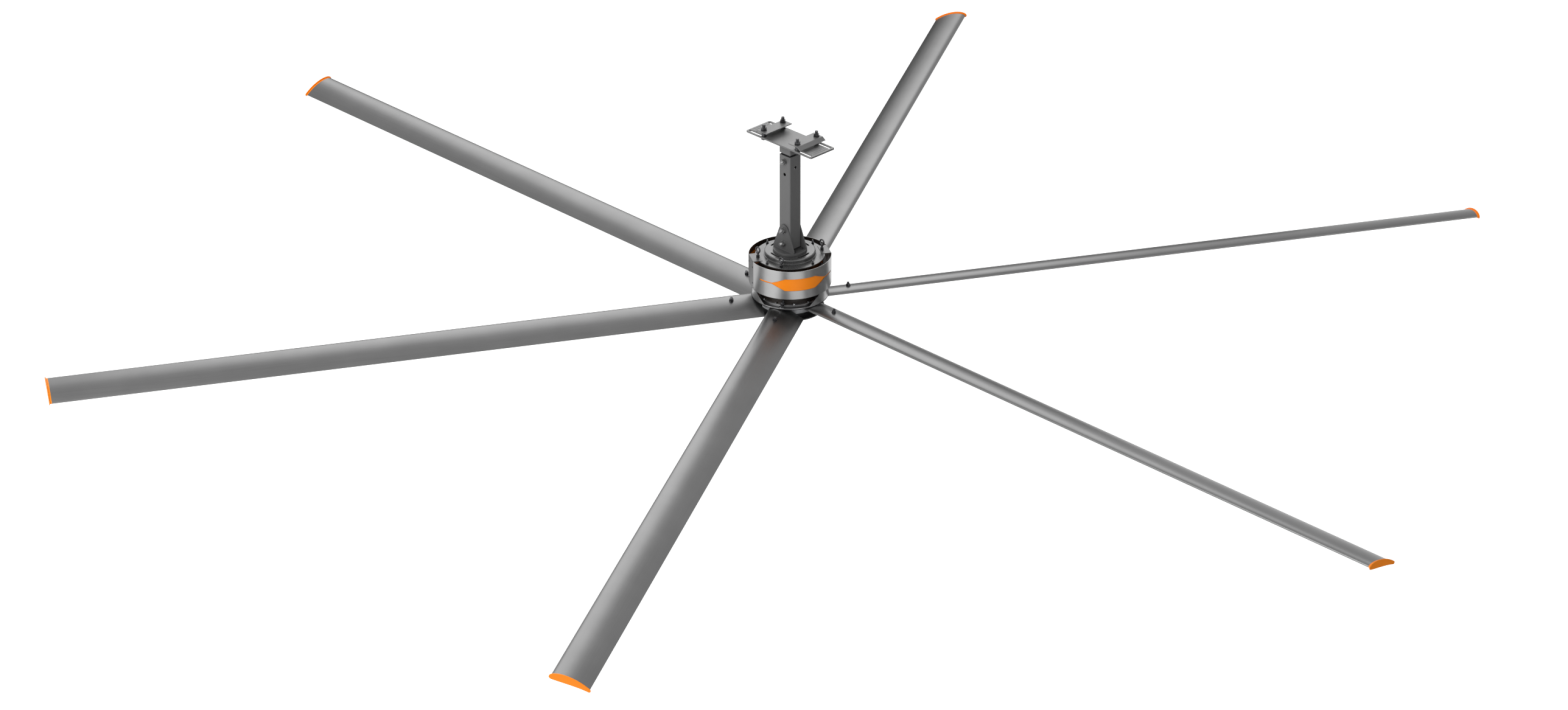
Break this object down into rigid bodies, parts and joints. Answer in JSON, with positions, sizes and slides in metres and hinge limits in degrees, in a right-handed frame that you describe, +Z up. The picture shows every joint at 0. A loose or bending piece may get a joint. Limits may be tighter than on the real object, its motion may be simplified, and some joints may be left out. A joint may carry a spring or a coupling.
{
  "type": "industrial ceiling fan",
  "caption": "Large industrial ceiling fan on a square downrod, with beam clamps, a gearless hub motor, pitched hollow blades and orange end caps.",
  "frame": {"origin": "middle of the mounting plate's top face, where it meets the beam", "axes": "+Z up out of the mounting plate, against the beam; +X along the mounting plate and blade 1; +Y across the plate"},
  "size_m": [7.3, 6.4388, 0.9722],
  "materials": {
    "plate_grey": "mid grey paint, semi-gloss",
    "tube_grey": "dark grey powder coat, satin",
    "bolt_dark": "blackened steel, satin",
    "bright_steel": "zinc plated or ground steel",
    "cast_grey": "machined and painted aluminium, semi-gloss",
    "sheet_silver": "brushed sheet steel",
    "orange_plastic": "moulded orange plastic, semi-gloss",
    "lamination": "varnished steel laminations",
    "copper": "enamelled copper wire",
    "drum_dark": "dark brown-black paint, satin",
    "magnet": "nickel plated magnets",
    "cover_black": "black paint, semi-gloss",
    "blade_silver": "anodised extruded aluminium, satin, fine lengthwise grain"
  },
  "bodies": {
    "hanger": {"mount_plate": "plate_grey", "stub_tube": "tube_grey", "coupling_tube": "tube_grey", "rod_bolt": "bolt_dark"},
    "clamp_a": {"clamp_plate_a": "plate_grey", "clamp_bolts_a": "bolt_dark", "clamp_spacers_a": "bright_steel"},
    "clamp_b": {"clamp_plate_b": "plate_grey", "clamp_bolts_b": "bolt_dark", "clamp_spacers_b": "bright_steel"},
    "motor": {"downrod": "tube_grey", "clevis_bracket": "tube_grey", "clevis_bolts": "bolt_dark", "base_screws": "bolt_dark", "stator_cap": "cast_grey", "cap_screws": "bright_steel", "stator_flange": "cast_grey", "flange_bolts": "bolt_dark", "eye_bolts": "bolt_dark", "shroud_bracket_a": "sheet_silver", "shroud_bracket_b": "sheet_silver", "shroud_front": "sheet_silver", "shroud_rear": "sheet_silver", "badge_front": "orange_plastic", "badge_rear": "orange_plastic", "shroud_screws": "bolt_dark", "motor_shaft": "bright_steel", "stator_core": "lamination", "stator_windings": "copper", "bearing_inner_rings": "bright_steel", "shaft_nut": "bolt_dark"},
    "rotor": {"rotor_top_shield": "drum_dark", "rotor_drum": "drum_dark", "rotor_magnets": "magnet", "bearing_outer_rings": "bright_steel", "bearing_balls": "bright_steel", "foot_ring": "sheet_silver", "ring_screws": "bright_steel", "hub_disc": "cast_grey", "hub_skirt": "sheet_silver", "hub_core": "sheet_silver", "core_screws": "bolt_dark", "blade_spars": "tube_grey", "hub_bolts": "bolt_dark", "bottom_cover": "cover_black", "cover_rim": "cast_grey", "cover_screws": "bolt_dark", "blade_bolts": "bolt_dark", "blade_1": "blade_silver", "blade_2": "blade_silver", "blade_3": "blade_silver", "blade_4": "blade_silver", "blade_5": "blade_silver", "blade_6": "blade_silver", "end_cap_1": "orange_plastic", "end_cap_2": "orange_plastic", "end_cap_3": "orange_plastic", "end_cap_4": "orange_plastic", "end_cap_5": "orange_plastic", "end_cap_6": "orange_plastic"}
  },
  "joints": [
    {"name": "clamp_slide_a", "type": "slide", "parent": "hanger", "child": "clamp_a", "axis": [1, 0, 0], "range_m": [-0.008, 0.088]},
    {"name": "clamp_slide_b", "type": "slide", "parent": "hanger", "child": "clamp_b", "axis": [-1, 0, 0], "range_m": [-0.008, 0.088]},
    {"name": "hanger_pivot", "type": "hinge", "parent": "hanger", "child": "motor", "pos_m": [0, 0, -0.108], "axis": [0, 1, 0], "range_deg": [-4, 4]},
    {"name": "rotor_spin", "type": "hinge", "parent": "motor", "child": "rotor", "pos_m": [0, 0, -0.868], "axis": [0, 0, 1], "continuous": true}
  ]
}
